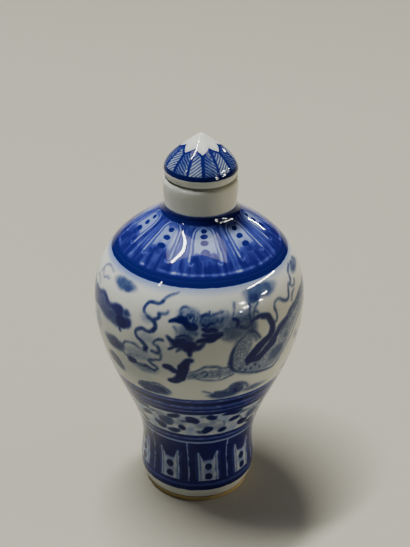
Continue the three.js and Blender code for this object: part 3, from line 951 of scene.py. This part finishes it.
def shoulder_density(glaze, wobble):
    """Cobalt of the shoulder: long tongues between two dark rings, with painted highlights where the cobalt
    is left paler.
    """
    height = glaze.height + wobble * 0.16
    turn = glaze.turn - glaze.maths("SINE", (glaze.turn + 15.0) * math.radians(1.0)) * 2.75
    across = glaze.panels(turn + wobble * 1.6, SHOULDER_PANELS, SHOULDER_FRONT)
    side = abs(across)
    streaks = glaze.noise(1.0, glaze.point(turn * (0.24 * MM), height * (0.1 * MM)))
    mottle = glaze.noise(2.4)
    density = 1.04 + streaks * 1.5 + mottle * 0.8 + glaze.step(height, 60.2, 58.6) * 0.16
    # The tongue, its pale outline and the hooks that end it
    upright_to, arch, half_width = 60.9, 3.05, 12.8
    lift = ((height - upright_to) | 0.0) / arch
    width = half_width * glaze.maths("SQRT", (1.0 - lift * lift * lift * lift * lift * lift) | 0.0)
    off_front = glaze.step(abs(glaze.turn - 7.0), 15.0, 35.0)
    edge = width - side
    root = 59.8 + glaze.oval(side - 6.6, height - 60.2, 3.2, 0.6) * 0.6
    fill = glaze.step(edge, 0.3, 3.4) * glaze.step(height - root, -0.3, 0.5)
    outline = glaze.within(edge, -0.8, 1.1, 1.1) * glaze.step(height, 59.2, 59.6)
    curl = glaze.spread(side - 10.9, height - 59.45, 1.9, 0.4)
    hook = glaze.within(curl, 0.6, 1.2, 0.35) * glaze.step(height, 59.55, 59.3)
    line = glaze.within(edge, 1.9, 3.0, 0.7) * 0.45
    eyes = (glaze.oval(across, height - 63.3 + off_front * 0.4, 3.4, 0.27)
            | glaze.oval(across, height - 62.62 + off_front * 0.75, 3.8, 0.3)
            | glaze.oval(across, height - 61.85 + off_front * 1.05, 3.8, 0.32))
    # The tongues that face the front are left paler, a painted highlight; further round they take more
    # cobalt
    tongue = 0.18 + off_front * 0.2 + glaze.step(height, 62.7, 63.7) * 0.4
    tongue = tongue + (glaze.step(height, 62.2, 59.8) * 0.3 + streaks * 0.5 + mottle * 0.3 | 0.0)
    tongue = tongue + (line | eyes * (1.0 + wobble))
    density = density + (tongue - density) * fill
    density = density + (0.26 - density) * (outline * (0.8 + mottle) | hook * 0.55)
    # The trefoil that rises between the hooks
    trefoil = (glaze.oval(across, height - 60.35, 4.4, 0.75)
               | glaze.oval(side - 8.2, height - 59.8, 3.0, 0.4))
    density = density | trefoil * (1.15 + mottle)
    # Pale streaks beside the tongue and between the panels, and a painted highlight that leaves each
    # panel's left side paler
    splay = glaze.step(height, 58.6, 57.9) * 1.2
    split = glaze.within(side, 18.9 - splay, 21.2, 1.0) * glaze.within(height, 57.9, 63.6, 0.3)
    halo = glaze.within(edge, -3.8, -2.5, 0.9) * glaze.within(height, 59.5, 63.2, 0.4)
    # painted highlight: each panel's left side is left paler, as if lit by the lamps' gleam
    painted_highlight = glaze.step(across, -13.0, -18.0) * glaze.step(height, 59.4, 61.0)
    density = density - (split * (0.42 + mottle) | halo * 0.34 | painted_highlight * 0.2)
    # The broken pale line over the lower ring
    gaps = glaze.step(glaze.noise(5.0), -0.1, 0.06)
    density = density - glaze.within(height, 57.7, 58.05, 0.16) * gaps * 0.54
    # The rings below and above
    lower = glaze.step(height, 57.72, 57.5) * (1.76 - glaze.within(height, 56.82, 56.96, 0.14) * 0.7
                                                 - glaze.within(height, 57.36, 57.48, 0.1) * 0.6)
    upper = glaze.step(height, 63.85, 64.1) * (1.68 - glaze.within(height, 64.55, 64.7, 0.14) * 0.5
                                                 - glaze.step(height, 65.1, 65.5) * 0.6)
    density = density | lower | upper
    bleed = glaze.step(height, 54.3, 56.3) * (0.34 + glaze.step(glaze.turn, -15.0, -50.0) * 0.14)
    return (density * glaze.within(height, 56.1, 65.62, 0.14)) | bleed * glaze.step(height, 65.9, 65.6)


def foot_density(glaze, wobble):
    """Cobalt of the foot: hanging tongues between rings."""
    height = glaze.height + wobble * 0.3
    twist = glaze.step(glaze.height, 6.5, 16.5) * 1.8
    across = glaze.panels(glaze.turn + twist + wobble * 2.4, FOOT_PANELS, FOOT_FRONT)
    side = abs(across)
    top = 11.5 + glaze.step(side, 4.4, 9.0) * 2.2
    fill = glaze.step(side, 12.4, 9.0) * glaze.step(height, top + 0.6, top - 0.5)
    eyes = (glaze.oval(across, height - 9.7, 3.4, 0.8) | glaze.oval(across, height - 7.3, 3.5, 0.74))
    line = glaze.within(side, 7.4, 8.6, 0.8) * 0.4
    column = glaze.step(side, 5.4, 2.6) * 0.16
    tongue = 0.22 + wobble * 0.5 + (line | column | eyes * 1.6)
    density = 1.35 + wobble * 0.9
    density = density + (tongue - density) * fill
    fade = glaze.within(side, 11.6, 13.4, 1.2) * glaze.within(height, 6.6, 13.4, 0.7) * 0.4
    split = glaze.within(side, 19.0, 21.0, 0.8) * 0.9
    density = density - (fade | split)
    density = density * glaze.within(height, 6.15, 16.35, 0.14)
    rings = (glaze.within(height, 5.5, 6.2, 0.14) * 1.45 | glaze.within(height, 3.75, 4.85, 0.16) * 1.6
             | glaze.within(height, 4.7, 5.6, 0.12) * 0.8)
    return density | rings | glaze.within(height, 16.3, 17.0, 0.12) * 0.42


def ring_density(glaze, wobble):
    """Cobalt of the plain rings above and below the leaf scroll."""
    height = glaze.height + wobble * 0.22
    rings = 0.0
    for centre, half, strength in ((31.3, 0.28, 1.1), (29.95, 0.6, 2.0), (28.2, 0.38, 1.6),
                                   (26.95, 0.5, 1.75), (18.65, 0.42, 1.6), (17.3, 0.36, 1.6)):
        rings = rings | glaze.within(height, centre - half, centre + half, 0.26) * strength
    wash = glaze.within(height, 26.6, 31.5, 0.25) | glaze.within(height, 17.1, 18.9, 0.2)
    haze = glaze.within(height, 18.9, 26.6, 0.3) * (0.2 + glaze.noise(2.6) * 0.8 | 0.0)
    return rings | wash * (0.68 + wobble * 0.4) | haze


def painted_density(glaze):
    """Cobalt of what the brush laid, which pools and thins as it goes, and of the body's scales."""
    pools = glaze.noise(1.7) * 0.9 + glaze.noise(0.45) * 0.5
    strokes = glaze.field("cobalt") * (1.2 + pools)
    edges = glaze.node("ShaderNodeTexVoronoi", {"feature": "DISTANCE_TO_EDGE"}, {
        "Vector": glaze.place, "Scale": 1.0 / (0.66 * MM)})
    scales = glaze.step(edges, 0.24, 0.02) * 0.22 + 0.34 + pools * 0.35
    return strokes | glaze.field("scales") * scales


def bottle_glaze(look):
    """The bottle's glaze: white, with every band of cobalt, and bare clay on the foot's edge."""
    glaze = Glaze("bottle glaze")
    wobble = glaze.noise(1.4)
    outside = glaze.field("outside")
    bands = (shoulder_density(glaze, wobble) | foot_density(glaze, wobble)
             | ring_density(glaze, wobble)) * outside
    brushed = painted_density(glaze) * outside
    mixed = glaze.node("ShaderNodeMix", {"data_type": "RGBA"}, {
        0: glaze.step(brushed - bands, -0.12, 0.12),
        6: glaze.cobalt(look, bands, look.pale, look.middle),
        7: glaze.cobalt(look, brushed, look.brushed_pale, look.brushed_middle)}, out=2)
    edge_height = glaze.height + wobble * 0.3
    bare = glaze.step(edge_height, 1.5, 1.25) * outside
    under = bare * glaze.step(glaze.radius, BARE_INSIDE, BARE_OUTSIDE)
    brown = glaze.within(edge_height, 1.2, 1.45, 0.12) * glaze.step(glaze.radius, BARE_INSIDE, BARE_OUTSIDE)
    dressed = glaze.node("ShaderNodeMix", {"data_type": "RGBA"}, {
        0: under, 6: mixed, 7: (*look.clay, 1.0)}, out=2)
    dressed = glaze.node("ShaderNodeMix", {"data_type": "RGBA"}, {
        0: brown, 6: dressed, 7: (*look.edge, 1.0)}, out=2)
    roughness = look.roughness + under * (look.clay_roughness - look.roughness)
    return glaze.finish(dressed, roughness)


def stopper_glaze(look):
    """The stopper's glaze: seven veined leaves over a dark ring, under a white crown."""
    leaf_turn = 360.0 / LEAVES
    ribs_apart = 0.8
    glaze = Glaze("stopper glaze")
    wobble = glaze.noise(1.2)
    patches = glaze.noise(2.2)
    height = glaze.height + wobble * 0.15
    across = glaze.panels(glaze.turn + wobble * 4.0, LEAVES, LEAF_FRONT - leaf_turn / 2)
    side = abs(across)
    off_rib = side * glaze.radius * math.radians(1.0)
    off_seam = (leaf_turn / 2 - side) * glaze.radius * math.radians(1.0)
    top = 77.75 - side * (0.9 / (leaf_turn / 2))
    climb = (height - 72.4) * 1.32
    veins = glaze.maths("SINE", (climb - off_rib * 1.05 + wobble * 0.25) * (math.tau / ribs_apart))
    shaded = glaze.step(across, 6.0, -14.0) * 0.4
    blade = 0.6 + veins * (0.34 + patches * 0.5) + patches * 0.9 + shaded
    rib = glaze.step(off_rib, 0.55, 0.12) * (1.35 + wobble)
    seam = glaze.step(off_seam, 0.62, 0.12) * (1.6 + wobble)
    rim = glaze.step(top - height, 0.62, 0.2) * (1.6 + wobble)
    crown = glaze.step(height, 77.4, 75.8) * 0.25
    leaf = ((blade + 0.25 - crown) | rib | seam | rim) * glaze.step(top - height, -0.12, 0.08)
    ring = glaze.within(height, 72.85, 73.7, 0.12) * 2.0
    tint = glaze.step(top - height, -1.0, 0.0) * 0.12
    density = (leaf * glaze.step(height, 73.0, 73.2)) | ring | tint * glaze.step(height, 73.0, 73.2)
    return glaze.finish(glaze.cobalt(look, density, look.brushed_pale, look.brushed_middle), look.roughness)


class SNUFF_OT_bottle(bpy.types.Operator):
    """Turns the bottle and paints it"""
    bl_idname = "snuff.bottle"
    bl_label = "Bottle"

    def execute(self, context):
        scene = context.scene
        bottle = turned_bottle(scene.snuff_bottle, bottle_glaze(scene.snuff_glaze))
        brush = Brush(bottle.data)
        paint_front_body(brush)
        paint_head(brush)
        paint_flames(brush)
        paint_front_clouds(brush)
        paint_back(brush)
        paint_scroll(brush)
        brush.finish()
        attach(bottle, "root")
        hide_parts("bottle")
        return {"FINISHED"}


class SNUFF_OT_stopper(bpy.types.Operator):
    """Turns the stopper and paints it"""
    bl_idname = "snuff.stopper"
    bl_label = "Stopper"

    def execute(self, context):
        scene = context.scene
        stopper = turned_stopper(scene.snuff_stopper, stopper_glaze(scene.snuff_glaze))
        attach(stopper, "root")
        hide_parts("stopper")
        return {"FINISHED"}


class StagePlan(bpy.types.PropertyGroup):
    """Where the camera stands, and the colours of the floor and the sky."""
    camera_back: length("Camera back", "Distance in front of the bottle's axis", 0.2103)
    camera_up: length("Camera up", "Height above the table", 0.1707)
    look_down: angle("Look down", "Angle below the horizon", 29.99)
    swing: angle("Swing", "Turn to the right", 0.30)
    lean: angle("Lean", "Roll of the camera", 0.88)
    lens: bpy.props.FloatProperty(
        name="Lens", description="Focal length in millimetres on a 36 mm frame", default=80.1, min=1.0)
    floor: colour("Floor", "The pale table", (0.285, 0.278, 0.225))
    sky: colour("Sky", "Light from all round", (0.80, 0.84, 0.88))
    sky_strength: bpy.props.FloatProperty(
        name="Sky strength", description="Strength of the light from all round", default=0.015, min=0.0)


FRAME_WIDTH = 36.0  # millimetres
NEAREST_SEEN = 0.01  # metres
FLOOR_REACH = 12.0
FLOOR_DULLNESS = 0.8
LIT_PLACE = (0.0, 0.0, 0.045)  # the middle of the bottle, where every lamp points
WHITE_LAMP = (1.0, 0.98, 0.95)
WARM_LAMP = (1.0, 0.82, 0.5)
STUDIO_LIGHTS = (
    # name, start, end and width in metres, watts, whether it shows as a highlight, and colour
    ("long ceiling lamp", (-0.40, -0.075, 1.0), (0.0, 0.305, 1.0), 0.07, 25.2, False, WHITE_LAMP),
    ("right fill", (0.7, 0.0, 0.10), (0.7, 0.4, 0.10), 0.18, 2.6, False, WARM_LAMP),
    ("ceiling glow", (-0.55, 0.10, 1.0), (0.45, 0.10, 1.0), 0.55, 14.0, True, WHITE_LAMP),
    ("ceiling strip", (-0.46, -0.165, 1.0), (-0.25, -0.085, 1.0), 0.034, 9.0, True, WHITE_LAMP),
    ("right window head", (0.6, -0.325, 0.446), (0.6, 0.15, 0.27), 0.009, 8.0, True, WHITE_LAMP),
    ("right window pane", (0.6, -0.18, 0.207), (0.6, -0.10, 0.187), 0.01, 2.0, True, WHITE_LAMP),
    ("right window sill", (0.6, -0.255, 0.16), (0.6, -0.205, 0.146), 0.01, 0.9, True, WHITE_LAMP),
    ("front window head", (0.6, -0.61, 0.312), (0.6, -0.47, 0.277), 0.009, 3.2, True, WHITE_LAMP),
    ("front window pane", (0.6, -0.58, 0.200), (0.6, -0.45, 0.175), 0.009, 3.0, True, WHITE_LAMP),
    ("front window sill", (0.6, -0.635, 0.15), (0.6, -0.605, 0.143), 0.01, 0.7, True, WHITE_LAMP),
    ("back lamp", (0.37, 0.57, 0.215), (0.39, 0.60, 0.215), 0.03, 1.4, True, WHITE_LAMP),
    ("left lamp", (-0.50, -0.36, 0.50), (-0.50, -0.36, 0.62), 0.014, 1.4, True, WHITE_LAMP),
)


def strip_light(name, start, end, width, power, shows, lamp_colour):
    """A lamp from one place to another that points at the bottle: a highlight only, or soft light only."""
    start, end = Vector(start), Vector(end)
    lamp = bpy.data.lights.new(name, "AREA")
    lamp.shape = "RECTANGLE"
    lamp.size = (end - start).length
    lamp.size_y = width
    lamp.energy = power
    lamp.color = lamp_colour
    middle = (start + end) / 2
    along = (end - start).normalized()
    back = (middle - Vector(LIT_PLACE)).normalized()
    across = back.cross(along).normalized()
    back = along.cross(across)
    stand = bpy.data.objects.new(name, lamp)
    stand.matrix_world = Matrix.Translation(middle) @ Matrix(
        (along, across, back)).transposed().to_4x4()
    stand.visible_glossy = shows
    stand.visible_diffuse = not shows
    bpy.context.scene.collection.objects.link(stand)


def stand_camera(plan):
    """The camera, at the photographed view."""
    camera = bpy.data.cameras.new("camera")
    camera.lens = plan.lens
    camera.sensor_width = FRAME_WIDTH
    camera.clip_start = NEAREST_SEEN
    stand = bpy.data.objects.new("camera", camera)
    bpy.context.scene.collection.objects.link(stand)
    level, drop = math.cos(plan.look_down), math.sin(plan.look_down)
    forward = Vector((math.sin(plan.swing) * level, math.cos(plan.swing) * level, -drop))
    right = Vector((math.cos(plan.swing), -math.sin(plan.swing), 0.0))
    up = right.cross(forward)
    leaning_right = right * math.cos(plan.lean) + up * math.sin(plan.lean)
    leaning_up = up * math.cos(plan.lean) - right * math.sin(plan.lean)
    turn = Matrix((leaning_right, leaning_up, -forward)).transposed().to_4x4()
    stand.matrix_world = Matrix.Translation((0, -plan.camera_back, plan.camera_up)) @ turn
    bpy.context.scene.camera = stand


def lay_floor(plan):
    """A plain pale floor."""
    mesh = bpy.data.meshes.new("floor")
    mesh.from_pydata([(side * FLOOR_REACH, deep * FLOOR_REACH, 0) for side, deep in
                      ((-1, -1), (1, -1), (1, 1), (-1, 1))], [], [(0, 1, 2, 3)])
    floor = bpy.data.objects.new("floor", mesh)
    bpy.context.scene.collection.objects.link(floor)
    paint = bpy.data.materials.new("floor paint")
    paint.use_nodes = True
    surface = paint.node_tree.nodes["Principled BSDF"]
    surface.inputs["Base Color"].default_value = (*plan.floor, 1.0)
    surface.inputs["Roughness"].default_value = FLOOR_DULLNESS
    mesh.materials.append(paint)


class SNUFF_OT_stage(bpy.types.Operator):
    """Lays the floor, hangs the lights and stands the camera"""
    bl_idname = "snuff.stage"
    bl_label = "Stage"

    def execute(self, context):
        plan = context.scene.snuff_stage
        lay_floor(plan)
        stand_camera(plan)
        world = bpy.data.worlds.new("studio")
        context.scene.world = world
        world.use_nodes = True
        sky = world.node_tree.nodes["Background"]
        sky.inputs["Color"].default_value = (*plan.sky, 1.0)
        sky.inputs["Strength"].default_value = plan.sky_strength
        for light in STUDIO_LIGHTS:
            strip_light(*light)
        return {"FINISHED"}


class SNUFF_PT_panel(bpy.types.Panel):
    """Buttons and sizes of the snuff bottle"""
    bl_label = "Snuff Bottle"
    bl_idname = "SNUFF_PT_panel"
    bl_space_type = "VIEW_3D"
    bl_region_type = "UI"
    bl_category = "Snuff Bottle"

    def draw(self, context):
        scene = context.scene
        for operator, group in (("snuff.stage", scene.snuff_stage), ("snuff.bottle", scene.snuff_bottle),
                                ("snuff.stopper", scene.snuff_stopper), (None, scene.snuff_glaze)):
            box = self.layout.box()
            if operator:
                box.operator(operator)
            for prop in group.bl_rna.properties:
                if prop.type in {"FLOAT", "INT"}:
                    box.prop(group, prop.identifier)


CLASSES = (BottleShape, StopperShape, GlazeLook, StagePlan, SNUFF_OT_stage, SNUFF_OT_bottle,
           SNUFF_OT_stopper, SNUFF_PT_panel)
GROUPS = {"snuff_bottle": BottleShape, "snuff_stopper": StopperShape, "snuff_glaze": GlazeLook,
          "snuff_stage": StagePlan}


def register():
    """Registers the classes and puts the sizes on the scene."""
    for one in CLASSES:
        bpy.utils.register_class(one)
    for name, group in GROUPS.items():
        setattr(bpy.types.Scene, name, bpy.props.PointerProperty(type=group))


def unregister():
    """Takes the sizes off the scene and the classes out again."""
    for name in GROUPS:
        delattr(bpy.types.Scene, name)
    for one in reversed(CLASSES):
        bpy.utils.unregister_class(one)


def main():
    """Makes everything in order."""
    register()
    bpy.ops.snuff.stage()
    bpy.ops.snuff.bottle()
    bpy.ops.snuff.stopper()


if __name__ == "__main__":
    main()
